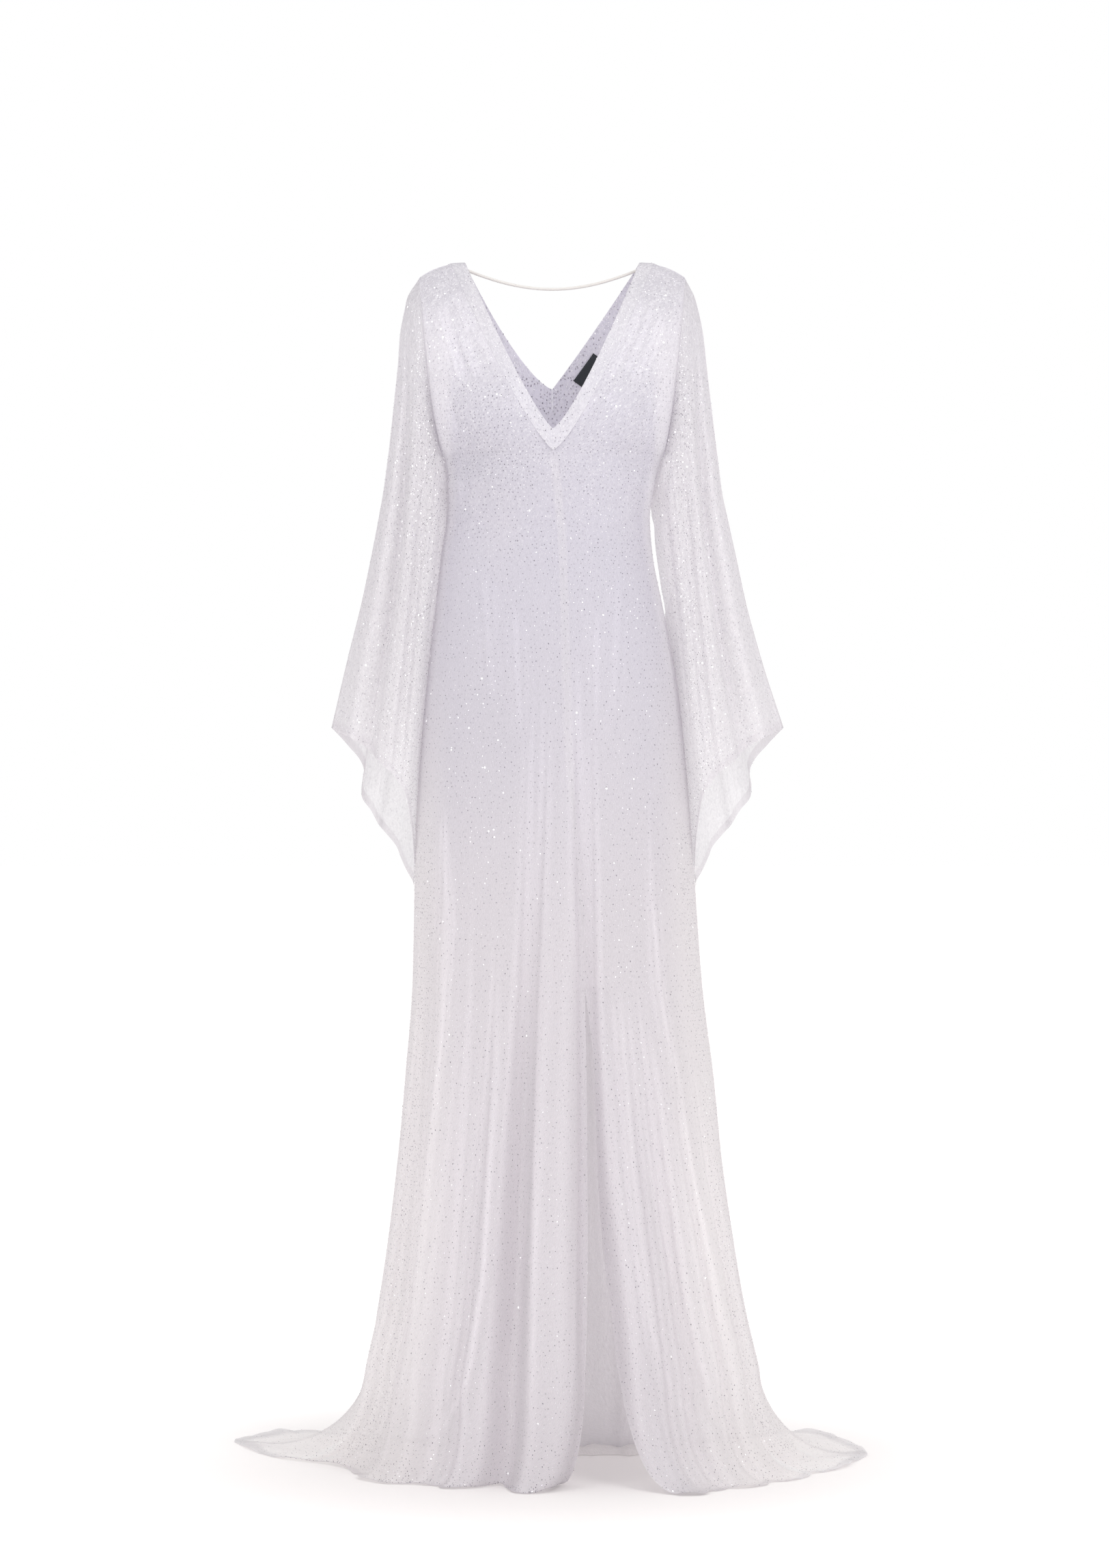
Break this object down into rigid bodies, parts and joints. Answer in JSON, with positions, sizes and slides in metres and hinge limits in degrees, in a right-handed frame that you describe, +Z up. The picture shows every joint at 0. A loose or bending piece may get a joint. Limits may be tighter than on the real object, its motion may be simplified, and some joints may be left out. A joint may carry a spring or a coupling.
{
  "type": "kaftan gown",
  "caption": "Floor-length open-sleeved gown in sheer glitter knit, with a V front and back, a strap across the back neck and a front slit, standing hollow as if worn.",
  "frame": {"origin": "between the shoulders, level with the shoulder seams, where the wearer's shoulders hold the gown up", "axes": "+Z up, -Y out of the front, +X towards the wearer's left"},
  "size_m": [0.858, 0.5283, 1.5873],
  "materials": {
    "glitter_knit": "sheer cool white knit with fine scattered sequins",
    "doubled_knit": "the same knit folded double, nearly opaque",
    "rouleau": "smooth off-white rolled cord",
    "woven_tape": "plain black woven tape, bare"
  },
  "bodies": {
    "root": {"front_right": "glitter_knit", "front_left": "glitter_knit", "back": "glitter_knit", "sleeve_right": "glitter_knit", "sleeve_left": "glitter_knit", "neckband_front_right": "doubled_knit", "neckband_front_left": "doubled_knit", "neckband_back_right": "doubled_knit", "neckband_back_left": "doubled_knit", "neck_strap": "rouleau", "label": "woven_tape"}
  },
  "joints": []
}
